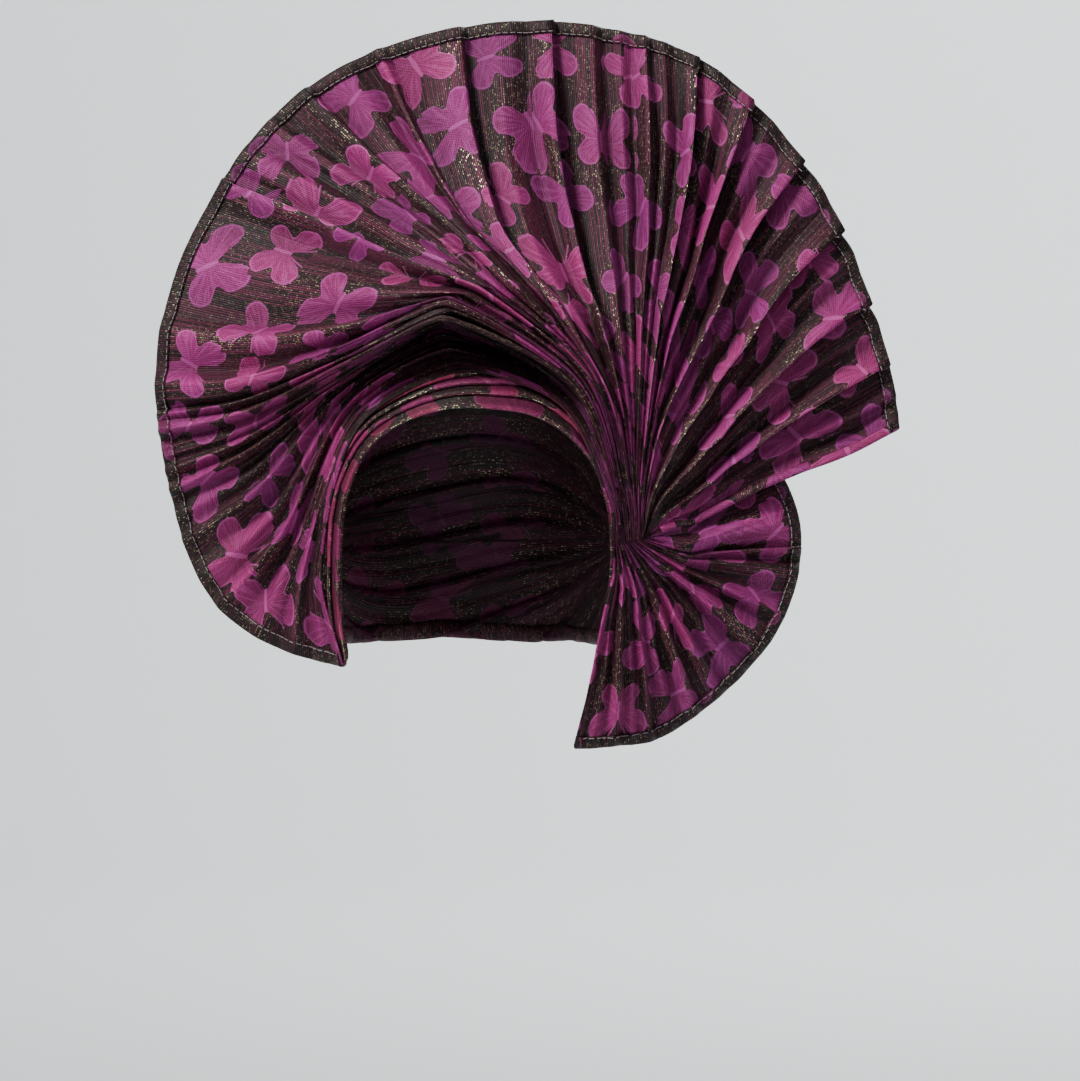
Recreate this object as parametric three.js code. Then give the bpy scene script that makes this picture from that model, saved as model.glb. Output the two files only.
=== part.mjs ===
// Gele head tie, tied and pinned into its worn form: a wrapped crown, four shingled brow pleats,
// a great pleated fan, a lower fan, and the puckered gather at the temple that both fans run into.
// Millimetres, +Z up. The origin is the middle of the crown's hollow, and the brow faces along -Y.
import {
  BufferGeometry,
  CatmullRomCurve3,
  Float32BufferAttribute,
  Group,
  MathUtils,
  Mesh,
  MeshStandardMaterial,
  Vector3,
} from "three";

// Hollow of the crown.
const HEAD_WIDTH = 150;
const HEAD_LENGTH = 186;
const HEAD_RISE = 88; // from the origin up to the top of the hollow
const HEAD_DROP = 150; // how slowly the hollow narrows below the origin: half height of its lower ellipsoid
const OPENING_TILT = 40; // degrees that the opening from brow to nape points below straight ahead

// Cloth.
const GAP = 0.3; // between neighbouring layers
const CROWN_WALL = 2;
const BROW_WALL = 1.4;
const FAN_WALL = 1.4;
const HEM_WIDTH = 6;
const HEM_WALL = 2.2;
const WRAP_FOLD = 2.6; // how far the folded edge of each turn of the wrap stands up at the back of the crown
const WRAP_PITCH = 13; // degrees round the back of the crown from one turn of the wrap to the next

// Fans.
const FAN_TURN = 9; // degrees that both fans face to the side of straight ahead
const FAN_RADIUS = 178;
const FAN_FOLD = 10; // deepest pleat of the great fan
const LOWER_RADIUS = 80;
const LOWER_FOLD = 7;
const PLEAT_SHARE = 0.5; // depth of a pleat for its width, where the cap above doesn't hold it back

// Gather at the temple.
const PINCH_RADIUS = 22;
const PINCH_WALL = 4.5;
const PINCH_SINK = 7; // how far the middle of the pucker lies behind its rim
const FLUTES = 18;
const FLUTE_DEPTH = 1.5;

const HALF_WIDTH = HEAD_WIDTH / 2;
const HALF_LENGTH = HEAD_LENGTH / 2;
const FAN_CENTRE = { right: 0.323 * HALF_WIDTH, up: 0.824 * HEAD_RISE };
const PINCH = { right: 1.147 * HALF_WIDTH, up: -0.142 * HEAD_RISE, out: 0.46 * HALF_LENGTH };
const PINCH_LEAN = 0.15 * HALF_LENGTH; // the gather stands this much further out by the opening
// Everything over the brow pleats keeps clear of the hollow by the layers under it, and by its facets' sag.
const FACET_SAG = 0.9;
const OVER_LAYERS = CROWN_WALL + 2 * BROW_WALL + 3 * GAP + FACET_SAG;

// Edge of the cloth round the opening. turn: degrees round the opening from its top, + towards +X, the
// left. open: degrees from the opening's middle to the edge. stack: degrees that the brow pleats cover.
const EDGE = [
  { turn: -154, open: 112, stack: 0 },
  { turn: -130, open: 98, stack: 0 },
  { turn: -113, open: 78, stack: 0 },
  { turn: -102, open: 59, stack: 3 },
  { turn: -92, open: 61, stack: 11 },
  { turn: -78, open: 66, stack: 11.5 },
  { turn: -64, open: 73, stack: 10.5 },
  { turn: -48, open: 79, stack: 9.5 },
  { turn: -32, open: 79, stack: 9.5 },
  { turn: -16, open: 77.5, stack: 11.5 },
  { turn: 0, open: 75.5, stack: 13.5 },
  { turn: 16, open: 75, stack: 14.5 },
  { turn: 32, open: 73, stack: 10 },
  { turn: 46, open: 69.5, stack: 6 },
  { turn: 60, open: 63.5, stack: 4.5 },
  { turn: 72, open: 58.5, stack: 4 },
  { turn: 82, open: 54, stack: 4 },
  { turn: 96, open: 61, stack: 0 },
  { turn: 113, open: 80, stack: 0 },
  { turn: 131, open: 99, stack: 0 },
  { turn: 154, open: 112, stack: 0 },
  { turn: 180, open: 117, stack: 0 },
];
const BROW_START = -102;
const BROW_END = 82;
const BROW_PLEATS = 4;

// Great fan: the lines that its cloth follows, from the cut edge round to the tip on the right.
// angle, reach: rim point about FAN_CENTRE, reach in shares of FAN_RADIUS.
// mid and shoulder: [right, up] of FAN_CENTRE in shares of FAN_RADIUS.
// knee and hip: [right, up] of the origin in shares of the hollow's half width and rise.
// throat: where the line meets the gather, in degrees about PINCH.
// out: how far rim, mid, shoulder, knee and hip stand forward, in shares of the hollow's half length.
const FAN_LINES = [
  { angle: -8, reach: 1.07, mid: [0.92, -0.22], shoulder: [0.76, -0.28], knee: [1.77, 0.12], hip: [1.47, 0], throat: 14, out: [0.1, 0.14, 0.17, 0.2, 0.25] },
  { angle: 14, reach: 1, mid: [0.82, 0.13], shoulder: [0.68, -0.01], knee: [1.64, 0.51], hip: [1.44, 0.31], throat: 35, out: [0.06, 0.13, 0.18, 0.23, 0.28] },
  { angle: 39, reach: 1, mid: [0.63, 0.4], shoulder: [0.53, 0.17], knee: [1.37, 0.8], hip: [1.24, 0.51], throat: 55, out: [0.02, 0.09, 0.18, 0.27, 0.34] },
  { angle: 62, reach: 1.02, mid: [0.47, 0.63], shoulder: [0.43, 0.38], knee: [1.24, 1.14], hip: [1.16, 0.56], throat: 72, out: [0, 0.07, 0.18, 0.31, 0.4] },
  { angle: 78, reach: 1, mid: [0.22, 0.66], shoulder: [0.25, 0.38], knee: [0.98, 1.12], hip: [1.04, 0.62], throat: 84, out: [-0.02, 0.07, 0.2, 0.38, 0.46] },
  { angle: 101, reach: 0.99, mid: [-0.14, 0.66], shoulder: [-0.05, 0.39], knee: [0.56, 1.2], hip: [0.9, 0.71], throat: 95, out: [-0.04, 0.09, 0.33, 0.6, 0.55] },
  { angle: 128, reach: 1, mid: [-0.39, 0.58], shoulder: [-0.21, 0.42], knee: [0.26, 1.28], hip: [0.81, 0.8], throat: 103, out: [-0.02, 0.15, 0.46, 0.72, 0.6] },
  { angle: 150, reach: 0.99, mid: [-0.56, 0.38], shoulder: [-0.33, 0.28], knee: [0.05, 1.24], hip: [0.75, 0.79], throat: 110, out: [0.02, 0.28, 0.62, 0.81, 0.66] },
  { angle: 180, reach: 1.01, mid: [-0.75, 0], shoulder: [-0.47, 0.05], knee: [-0.12, 1.14], hip: [0.68, 0.76], throat: 116, out: [0.08, 0.38, 0.7, 0.87, 0.7] },
  { angle: 199, reach: 1.02, mid: [-0.74, -0.22], shoulder: [-0.49, -0.03], knee: [-0.13, 1.02], hip: [0.64, 0.71], throat: 120, out: [0.14, 0.3, 0.48, 0.56, 0.6] },
  { angle: 219, reach: 1.05, mid: [-0.64, -0.44], shoulder: [-0.46, -0.09], knee: [-0.1, 0.93], hip: [0.62, 0.67], throat: 124, out: [0.22, 0.33, 0.48, 0.56, 0.58] },
  { angle: 239, reach: 0.94, mid: [-0.54, -0.53], shoulder: [-0.43, -0.15], knee: [-0.03, 0.82], hip: [0.6, 0.63], throat: 128, out: [0.38, 0.46, 0.6, 0.66, 0.6] },
];
// Lower fan: angle, reach about PINCH in shares of LOWER_RADIUS. out: rim and middle.
const LOWER_LINES = [
  { angle: 36, reach: 0.96, throat: 11, out: [0.02, 0.1] },
  { angle: 10, reach: 0.98, throat: -4, out: [0.04, 0.16] },
  { angle: -8, reach: 0.98, throat: -17, out: [0.04, 0.18] },
  { angle: -25, reach: 0.98, throat: -31, out: [0.05, 0.2] },
  { angle: -42, reach: 0.99, throat: -46, out: [0.09, 0.25] },
  { angle: -58, reach: 1.02, throat: -62, out: [0.14, 0.3] },
  { angle: -73, reach: 1.09, throat: -80, out: [0.22, 0.38] },
  { angle: -87, reach: 1.19, throat: -100, out: [0.3, 0.46] },
  { angle: -98, reach: 1.23, throat: -118, out: [0.38, 0.53] },
  { angle: -109, reach: 1.3, throat: -134, out: [0.46, 0.58] },
];

// Pleats: at counts lines along the table above, rise shares the full depth, valley says how far on to the
// next pleat the cloth is deepest (near 1 makes a knife pleat), step sets the rim back beyond the pleat.
const FAN_PLEATS = [
  { at: 0, rise: 0.3, valley: 0.5, step: 0 },
  { at: 0.55, rise: 0.8, valley: 0.75, step: 0.01 },
  { at: 1, rise: 1, valley: 0.25, step: 0.03 },
  { at: 1.5, rise: 1, valley: 0.3, step: 0.012 },
  { at: 2, rise: 0.9, valley: 0.35, step: 0.005 },
  { at: 2.5, rise: 0.9, valley: 0.6, step: 0 },
  { at: 3, rise: 1, valley: 0.25, step: 0 },
  { at: 3.5, rise: 0.6, valley: 0.5, step: 0 },
  { at: 4, rise: 0.7, valley: 0.7, step: 0 },
  { at: 4.4, rise: 0.9, valley: 0.4, step: 0 },
  { at: 4.7, rise: 0.5, valley: 0.5, step: 0 },
  { at: 5, rise: 0.8, valley: 0.65, step: 0 },
  { at: 5.6, rise: 0.7, valley: 0.6, step: 0 },
  { at: 6, rise: 0.8, valley: 0.55, step: 0 },
  { at: 6.55, rise: 0.5, valley: 0.5, step: 0 },
  { at: 7, rise: 1, valley: 0.3, step: 0 },
  { at: 7.35, rise: 0.6, valley: 0.55, step: 0 },
  { at: 7.7, rise: 0.6, valley: 0.5, step: 0 },
  { at: 8.05, rise: 0.7, valley: 0.6, step: 0 },
  { at: 9, rise: 0.8, valley: 0.5, step: 0 },
  { at: 9.45, rise: 0.6, valley: 0.5, step: 0 },
  { at: 10, rise: 0.8, valley: 0.5, step: 0 },
  { at: 10.6, rise: 0.5, valley: 0.5, step: 0 },
  { at: 11, rise: 0.2, valley: 0.5, step: 0 },
];
const LOWER_PLEATS = [
  { at: 0, rise: 0.4, valley: 0.5, step: 0 },
  { at: 0.8, rise: 0.9, valley: 0.85, step: 0 },
  { at: 2, rise: 0.7, valley: 0.6, step: 0 },
  { at: 3.1, rise: 0.5, valley: 0.35, step: 0 },
  { at: 4.1, rise: 0.9, valley: 0.4, step: 0 },
  { at: 5.3, rise: 0.7, valley: 0.5, step: 0 },
  { at: 6.1, rise: 0.9, valley: 0.7, step: 0 },
  { at: 7.2, rise: 0.6, valley: 0.5, step: 0 },
  { at: 8.1, rise: 0.8, valley: 0.5, step: 0 },
  { at: 9, rise: 0.3, valley: 0.5, step: 0 },
];

const { cos, sin, sqrt, hypot, min, max, PI } = Math;
const { degToRad, lerp } = MathUtils;

// Smooth curve through the values that the rows hold for one key, at a place counted in rows.
function through(rows, place, key) {
  const start = min(Math.floor(place), rows.length - 2);
  const value = (index) => key(rows[MathUtils.clamp(index, 0, rows.length - 1)]);
  const [before, from, to, after] = [start - 1, start, start + 1, start + 2].map(value);
  const share = place - start;
  const bend = (to - before) * 0.5;
  const nextBend = (after - from) * 0.5;
  const rise = to - from;
  return from + share * (bend + share * (3 * rise - 2 * bend - nextBend + share * (bend + nextBend - 2 * rise)));
}

// Opening and stack of the EDGE table at any turn.
function edgeAt(turn) {
  const lap = EDGE.length;
  const row = (index) => {
    const laps = Math.floor(index / lap);
    const { turn: own, open, stack } = EDGE[index - laps * lap];
    return { turn: own + 360 * laps, open, stack };
  };
  const next = EDGE.findIndex((place) => place.turn > turn);
  const last = (next < 0 ? lap : next) - 1;
  const rows = [last - 1, last, last + 1, last + 2].map(row);
  const place = 1 + (turn - rows[1].turn) / (rows[2].turn - rows[1].turn);
  return { open: through(rows, place, (r) => r.open), stack: through(rows, place, (r) => r.stack) };
}

// Point at a distance out from the hollow, by turn round the opening's axis and angle open from it.
const OPENING_AXIS = new Vector3(0, -cos(degToRad(OPENING_TILT)), -sin(degToRad(OPENING_TILT)));
const OPENING_TOP = new Vector3(0, -sin(degToRad(OPENING_TILT)), cos(degToRad(OPENING_TILT)));
function onHead(turn, open, out) {
  const around = degToRad(turn);
  const away = degToRad(open);
  const point = OPENING_AXIS.clone().multiplyScalar(cos(away));
  point.addScaledVector(OPENING_TOP, sin(away) * cos(around));
  point.x += sin(away) * sin(around);
  const rise = point.z > 0 ? HEAD_RISE : HEAD_DROP;
  return point.multiply(new Vector3(HALF_WIDTH + out, HALF_LENGTH + out, rise + out));
}

// How far forward the hollow's front, with layers of that thickness on it, stands behind a point of the fans.
function headFront(right, up, layers) {
  const across = HALF_WIDTH + layers;
  const along = HALF_LENGTH + layers;
  const rise = (up > 0 ? HEAD_RISE : HEAD_DROP) + layers;
  const turn = degToRad(FAN_TURN);
  const reach = (across * cos(turn)) ** 2 + (along * sin(turn)) ** 2;
  const inside = 1 - right ** 2 / reach - (up / rise) ** 2;
  if (inside < 0) return -Infinity;
  const skew = (along ** 2 - across ** 2) * sin(turn) * cos(turn);
  return (skew * right) / reach + across * along * sqrt(inside / reach);
}

// One closed body between a front and a back grid of points, with a wall round its open edges.
function closedBody(front, back, looped) {
  const corners = [];
  const triangle = (a, b, c) => {
    if (a.distanceTo(b) > 1e-6 && b.distanceTo(c) > 1e-6 && c.distanceTo(a) > 1e-6) corners.push(a, b, c);
  };
  const quad = (a, b, c, d) => {
    triangle(a, b, c);
    triangle(a, c, d);
  };
  const lastRow = front.length - 1;
  const columns = front[0].length;
  const spans = looped ? columns : columns - 1;
  for (let column = 0; column < spans; column++) {
    const next = (column + 1) % columns;
    for (let row = 0; row < lastRow; row++) {
      quad(front[row][column], front[row + 1][column], front[row + 1][next], front[row][next]);
      quad(back[row][next], back[row + 1][next], back[row + 1][column], back[row][column]);
    }
    quad(front[0][column], front[0][next], back[0][next], back[0][column]);
    quad(front[lastRow][next], front[lastRow][column], back[lastRow][column], back[lastRow][next]);
  }
  if (!looped)
    for (let row = 0; row < lastRow; row++) {
      quad(front[row + 1][0], front[row][0], back[row][0], back[row + 1][0]);
      const end = columns - 1;
      quad(front[row][end], front[row + 1][end], back[row + 1][end], back[row][end]);
    }
  const size = (index) => corners[index].clone().cross(corners[index + 1]).dot(corners[index + 2]);
  let volume = 0;
  for (let index = 0; index < corners.length; index += 3) volume += size(index);
  if (volume < 0) corners.reverse();
  const geometry = new BufferGeometry();
  geometry.setAttribute("position", new Float32BufferAttribute(corners.flatMap((point) => point.toArray()), 3));
  geometry.computeVertexNormals();
  return geometry;
}

// Cloth in front of the crown: places holds {right, up, out} by row and column. The wall is measured square
// to the cloth but runs straight back, so the back never crosses the front, and it stops short of the layers under it.
function standingCloth(places, wallOf, looped) {
  for (const row of places)
    for (const place of row) {
      const behind = headFront(place.right, place.up, OVER_LAYERS) + 1.2 * FAN_WALL;
      if (behind > -Infinity) place.out = (place.out + behind + hypot(place.out - behind, 3)) / 2;
    }
  const front = places.map((row) => row.map((place) => new Vector3(place.right, -place.out, place.up)));
  const columns = front[0].length;
  const back = front.map((row, index) =>
    row.map((point, column) => {
      const before = looped ? (column + columns - 1) % columns : max(column - 1, 0);
      const after = looped ? (column + 1) % columns : min(column + 1, columns - 1);
      const across = row[after].clone().sub(row[before]);
      const along = front[min(index + 1, front.length - 1)][column].clone();
      along.sub(front[max(index - 1, 0)][column]);
      const normal = across.cross(along).normalize();
      const straight = wallOf(index) / max(Math.abs(normal.y), 0.4);
      const { right, up, out } = places[index][column];
      return new Vector3(right, -max(out - straight, headFront(right, up, OVER_LAYERS)), up);
    }),
  );
  return closedBody(front, back, looped);
}

// A pleated sheet: lineAt(place) gives the smooth line along the cloth, pleats the folds across it.
function pleatedSheet({ lineAt, pleats, deepest, hemLength, rows }) {
  const lines = [];
  pleats.slice(0, -1).forEach((pleat, index) => {
    const next = pleats[index + 1];
    const wide = [0, pleat.valley / 2, pleat.valley, (1 + pleat.valley) / 2];
    const shares = next.at - pleat.at > 0.46 ? wide : [0, pleat.valley];
    for (const share of shares) lines.push({ pleat, next, share, at: lerp(pleat.at, next.at, share) });
  });
  const last = pleats.at(-1);
  lines.push({ pleat: last, next: last, share: 0, at: last.at });
  for (const line of lines) line.curve = lineAt(line.at, line.pleat.step * (1 - line.share));
  const crests = lines.filter((line) => line.share === 0);
  const stations = [0, hemLength, hemLength + 0.01, ...rows];
  const places = stations.map((station) => {
    const crestPoints = crests.map((line) => line.curve.getPoint(station));
    const full = min(0.45 + 3 * station, 1);
    return lines.map(({ pleat, next, share, curve }) => {
      const point = curve.getPoint(station);
      const index = crests.findIndex((line) => line.pleat === pleat);
      const width = index < crests.length - 1 ? crestPoints[index].distanceTo(crestPoints[index + 1]) : 0;
      const depth = min(deepest, width * PLEAT_SHARE) * full;
      const climb = share <= pleat.valley ? 1 - share / pleat.valley : (share - pleat.valley) / (1 - pleat.valley);
      const rise = (share <= pleat.valley ? pleat.rise : next.rise) * (1 - cos(climb * PI)) * 0.5;
      return { right: point.x, up: point.z, out: point.y + depth * (rise - 0.4) };
    });
  });
  return standingCloth(places, (row) => (row < 2 ? HEM_WALL : FAN_WALL), false);
}

// How far forward the rim of the gather stands at an angle about PINCH.
const pinchOut = (angle) => PINCH.out - PINCH_LEAN * cos(degToRad(angle));
const aboutPinch = (angle, reach, out) =>
  new Vector3(PINCH.right + reach * cos(degToRad(angle)), out, PINCH.up + reach * sin(degToRad(angle)));

// Crown: the cloth wrapped round the hollow, open from brow to nape, with soft slanting folds at the back.
function crownWrap() {
  const rings = [0, 0.1, 0.2, 0.29, 0.38, 0.46, 0.54, 0.62, 0.7, 0.77, 0.84, 0.91, 0.97, 1];
  const turns = Array.from({ length: 44 }, (_, index) => -180 + (360 / 44) * index);
  const shell = (outside) =>
    rings.map((ring) =>
      turns.map((turn) => {
        const edge = edgeAt(turn < EDGE[0].turn ? turn + 360 : turn);
        const lip = edge.stack > 0 ? edge.open + 1.5 : edge.open;
        const open = 180 - ring * (180 - lip);
        const behind = MathUtils.smoothstep(-cos(degToRad(turn)), 0.3, 0.65) * MathUtils.smoothstep(ring, 0, 0.25);
        const wrap = (((open + 8 * sin(degToRad(turn))) / WRAP_PITCH) % 1) * WRAP_FOLD;
        return onHead(turn, open, outside ? CROWN_WALL + wrap * behind : 0);
      }),
    );
  return closedBody(shell(true), shell(false), true);
}

// Brow pleats: each lies on the one below it along its folded lower edge, and on the crown above that.
function browPleat(number) {
  const turns = Array.from({ length: 33 }, (_, index) => lerp(BROW_START, BROW_END, index / 32));
  const lifted = number > 1 ? BROW_WALL + GAP : 0;
  const profile = [
    { climb: 0, lift: 1 },
    { climb: 0.35, lift: 1 },
    { climb: 1, lift: 0 },
    { climb: 1.35, lift: 0 },
  ];
  const shell = (wall) =>
    profile.map(({ climb, lift }) =>
      turns.map((turn) => {
        const { open, stack } = edgeAt(turn);
        const pitch = stack / (BROW_PLEATS - 1);
        const angle = open + pitch * (number - 1 + climb);
        return onHead(turn, angle, CROWN_WALL + GAP + lifted * lift + wall);
      }),
    );
  return closedBody(shell(BROW_WALL), shell(0), false);
}

function greatFan() {
  const lineAt = (place, step) => {
    const value = (key) => through(FAN_LINES, place, key);
    const angle = degToRad(value((line) => line.angle));
    const reach = (value((line) => line.reach) - step) * FAN_RADIUS;
    const out = [0, 1, 2, 3, 4].map((index) => value((line) => line.out[index]) * HALF_LENGTH);
    const inFan = (key, forward) =>
      new Vector3(
        FAN_CENTRE.right + value((line) => line[key][0]) * FAN_RADIUS,
        forward,
        FAN_CENTRE.up + value((line) => line[key][1]) * FAN_RADIUS,
      );
    const overHead = (key, forward) =>
      new Vector3(value((line) => line[key][0]) * HALF_WIDTH, forward, value((line) => line[key][1]) * HEAD_RISE);
    const throat = value((line) => line.throat);
    return new CatmullRomCurve3(
      [
        new Vector3(FAN_CENTRE.right + reach * cos(angle), out[0], FAN_CENTRE.up + reach * sin(angle)),
        inFan("mid", out[1]),
        inFan("shoulder", out[2]),
        overHead("knee", out[3]),
        overHead("hip", out[4]),
        aboutPinch(throat, PINCH_RADIUS, pinchOut(throat)),
      ],
      false,
      "catmullrom",
    );
  };
  const rows = [0.11, 0.22, 0.31, 0.38, 0.44, 0.5, 0.55, 0.6, 0.66, 0.72, 0.78, 0.84, 0.9, 0.95, 1];
  return pleatedSheet({ lineAt, pleats: FAN_PLEATS, deepest: FAN_FOLD, hemLength: HEM_WIDTH / (1.9 * FAN_RADIUS), rows });
}

function lowerFan() {
  const lineAt = (place) => {
    const value = (key) => through(LOWER_LINES, place, key);
    const angle = value((line) => line.angle);
    const throat = value((line) => line.throat);
    const reach = value((line) => line.reach) * LOWER_RADIUS;
    const [rimOut, middleOut] = [0, 1].map((index) => value((line) => line.out[index]) * HALF_LENGTH);
    return new CatmullRomCurve3(
      [
        aboutPinch(angle, reach, rimOut),
        aboutPinch(lerp(angle, throat, 0.1), lerp(reach, PINCH_RADIUS, 0.4), lerp(rimOut, middleOut, 0.8)),
        aboutPinch(lerp(angle, throat, 0.4), lerp(reach, PINCH_RADIUS, 0.75), lerp(middleOut, pinchOut(throat), 0.4)),
        aboutPinch(throat, PINCH_RADIUS, pinchOut(throat)),
      ],
      false,
      "catmullrom",
    );
  };
  const rows = [0.2, 0.32, 0.45, 0.58, 0.7, 0.8, 0.9, 1];
  return pleatedSheet({ lineAt, pleats: LOWER_PLEATS, deepest: LOWER_FOLD, hemLength: HEM_WIDTH / (1.1 * LOWER_RADIUS), rows });
}

// Gather: fine flutes run in from all sides to a sunk middle, and stop GAP short of both fans.
function templeGather() {
  const rings = [0, 0.35, 0.7, 1];
  const steps = 4 * FLUTES;
  const places = rings.map((ring) =>
    Array.from({ length: steps }, (_, index) => {
      const angle = (360 * index) / steps;
      const side = -cos(degToRad(angle)); // 1 on the side of the opening, where the gather is narrower
      const rim = (PINCH_RADIUS - GAP) * (1 - 0.4 * max(0, side - 0.64) / 0.36);
      const flute = FLUTE_DEPTH * ring * cos((index * PI) / 2);
      const { x, z } = aboutPinch(angle, rim * ring, 0);
      const out = lerp(PINCH.out - PINCH_SINK, pinchOut(angle), ring) + flute;
      return { right: x, up: z, out };
    }),
  );
  return standingCloth(places, () => PINCH_WALL, true);
}

const cloth = (color, roughness) => new MeshStandardMaterial({ color, roughness, metalness: 0.25, flatShading: true });

function piece(name, geometry, material) {
  const mesh = new Mesh(geometry, material);
  mesh.name = name;
  return mesh;
}
const headTie = new Group();
headTie.add(piece("crown_wrap", crownWrap(), cloth(0x2c1424, 0.6)));
for (let number = 1; number <= BROW_PLEATS; number++)
  headTie.add(piece(`brow_pleat_${number}`, browPleat(number), cloth(number % 2 ? 0x7a2450 : 0x5a1c40, 0.5)));

// Both fans and the gather between them face a little to the side of straight ahead.
const fans = new Group();
fans.rotation.z = -degToRad(FAN_TURN);
fans.add(piece("great_fan", greatFan(), cloth(0x6a2458, 0.5)));
fans.add(piece("temple_gather", templeGather(), cloth(0x4a1838, 0.55)));
fans.add(piece("lower_fan", lowerFan(), cloth(0x742a5e, 0.5)));
headTie.add(fans);

export default headTie;
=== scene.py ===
"""Gele head tie: stiff ribbed brocade with gold thread and magenta butterflies, tied into its worn form."""

import math
import random

import bmesh
import bpy
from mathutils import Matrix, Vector, kdtree, noise


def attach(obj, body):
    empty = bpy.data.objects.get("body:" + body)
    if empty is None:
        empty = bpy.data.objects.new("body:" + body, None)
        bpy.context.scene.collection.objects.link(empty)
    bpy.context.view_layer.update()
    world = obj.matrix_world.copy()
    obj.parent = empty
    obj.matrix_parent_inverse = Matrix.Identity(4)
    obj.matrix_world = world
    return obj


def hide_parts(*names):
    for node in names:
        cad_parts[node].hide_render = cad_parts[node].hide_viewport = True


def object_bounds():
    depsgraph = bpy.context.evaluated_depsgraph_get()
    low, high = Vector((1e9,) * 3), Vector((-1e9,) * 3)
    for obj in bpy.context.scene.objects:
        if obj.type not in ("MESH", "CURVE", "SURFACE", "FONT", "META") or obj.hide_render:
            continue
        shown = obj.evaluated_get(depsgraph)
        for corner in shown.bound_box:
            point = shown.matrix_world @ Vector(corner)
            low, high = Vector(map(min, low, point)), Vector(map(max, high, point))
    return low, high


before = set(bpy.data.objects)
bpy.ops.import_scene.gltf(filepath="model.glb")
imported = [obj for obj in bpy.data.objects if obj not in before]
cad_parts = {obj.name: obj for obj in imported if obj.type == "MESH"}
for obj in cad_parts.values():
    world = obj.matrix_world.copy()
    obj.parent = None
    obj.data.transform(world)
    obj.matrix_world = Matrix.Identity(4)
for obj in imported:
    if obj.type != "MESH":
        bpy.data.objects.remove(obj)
cad_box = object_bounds()

# The camera stands level with the brow pleats, turned a little from straight ahead, and takes in the
# whole head tie with the empty space below it.
VIEW_TURN = math.radians(9)
VIEW_DISTANCE = 1.8
VIEW_WIDTH = 0.54
VIEW_MIDDLE = (0.035, -0.010)  # right and up of the hollow's middle, as the camera sees it


def turned(right, out, up):
    """A point given right, out towards the camera, and up, in the part's frame."""
    x = right * math.cos(VIEW_TURN) - out * math.sin(VIEW_TURN)
    y = -right * math.sin(VIEW_TURN) - out * math.cos(VIEW_TURN)
    return Vector((x, y, up))


def in_scene(name, data):
    """An object made of the data and linked into the scene."""
    thing = bpy.data.objects.new(name, data)
    bpy.context.scene.collection.objects.link(thing)
    return thing


camera_data = bpy.data.cameras.new("camera")
camera_data.angle = 2 * math.atan(VIEW_WIDTH / 2 / VIEW_DISTANCE)
camera_data.clip_start = 0.05
camera = in_scene("camera", camera_data)
camera.location = turned(VIEW_MIDDLE[0], VIEW_DISTANCE, VIEW_MIDDLE[1])
camera.rotation_euler = (math.radians(90), 0, -VIEW_TURN)
bpy.context.scene.camera = camera

# Studio: a round floor of pale matt paper that bends up into a wall on every side, so that no view meets
# an edge of it. It is staging, and no part of the head tie.
FLOOR_LEVEL = cad_box[0][2] - 0.30
FLOOR_RADIUS = 2.6
PAPER_BEND = 1.2
BEND_STEPS = 10
WALL_TOP = 3.4


def mesh_data(name, mesh):
    """Stores a bmesh that is done as mesh data."""
    data = bpy.data.meshes.new(name)
    mesh.to_mesh(data)
    mesh.free()
    return data


def new_material(name):
    """A material, its nodes and links, and the inputs of its shader."""
    material = bpy.data.materials.new(name)
    material.use_nodes = True
    tree = material.node_tree
    return material, tree.nodes, tree.links, tree.nodes["Principled BSDF"].inputs


studio_mesh = bmesh.new()
profile = [(0.0, 0.0), (FLOOR_RADIUS, 0.0)]
profile += [
    (FLOOR_RADIUS + PAPER_BEND * math.sin(bend), PAPER_BEND * (1 - math.cos(bend)))
    for bend in [math.radians(90 * step / BEND_STEPS) for step in range(1, BEND_STEPS + 1)]
]
profile.append((FLOOR_RADIUS + PAPER_BEND, WALL_TOP))
corners = [studio_mesh.verts.new((out, 0, FLOOR_LEVEL + rise)) for out, rise in profile]
edges = [studio_mesh.edges.new(pair) for pair in zip(corners, corners[1:])]
bmesh.ops.spin(studio_mesh, geom=corners + edges, axis=(0, 0, 1), cent=(0, 0, 0), angle=math.tau, steps=72,
               use_merge=True)
bmesh.ops.remove_doubles(studio_mesh, verts=studio_mesh.verts[:], dist=0.001)
for face in studio_mesh.faces:
    face.smooth = True
    if face.normal.dot(Vector((0, 0, 1)) - face.calc_center_median()) < 0:
        face.normal_flip()
paper_studio = in_scene("paper_studio", mesh_data("paper_studio", studio_mesh))
paper, _, _, paper_look = new_material("pale_paper")
paper_look["Base Color"].default_value = (0.56, 0.585, 0.595, 1)
paper_look["Roughness"].default_value = 0.9
paper_studio.data.materials.append(paper)

# Crown wrap: turns of the brocade wound over the crown from temple to temple, each folded edge lying on
# the turn before it. The hollow inside is open at brow and nape, and the cloth is turned in at its edge.
HOLLOW_HALF_WIDTH = 0.075
HOLLOW_HALF_LENGTH = 0.093
HOLLOW_RISE = 0.088
HOLLOW_DROP = 0.150
OPENING_TILT = math.radians(40)
CROWN_WALL = 0.002
CROWN_CLOTH = 0.0018
TURN_OF_WRAP = math.radians(15)
WRAP_STEP = 0.0030
SMALL_WRAP_STEP = 0.0008
WRAP_AXIS_DROP = 0.01
WRAP_SLANT = 0.45
SLANT_WANDER = 0.35
WRINKLE_DEPTH = 0.0008
CROWN_ROWS = 130
CROWN_COLUMNS = 260
RIB_PITCH = 0.0011
RIB_RELIEF = 0.00028
GOLD_THREAD = (0.78, 0.64, 0.40)
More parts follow.
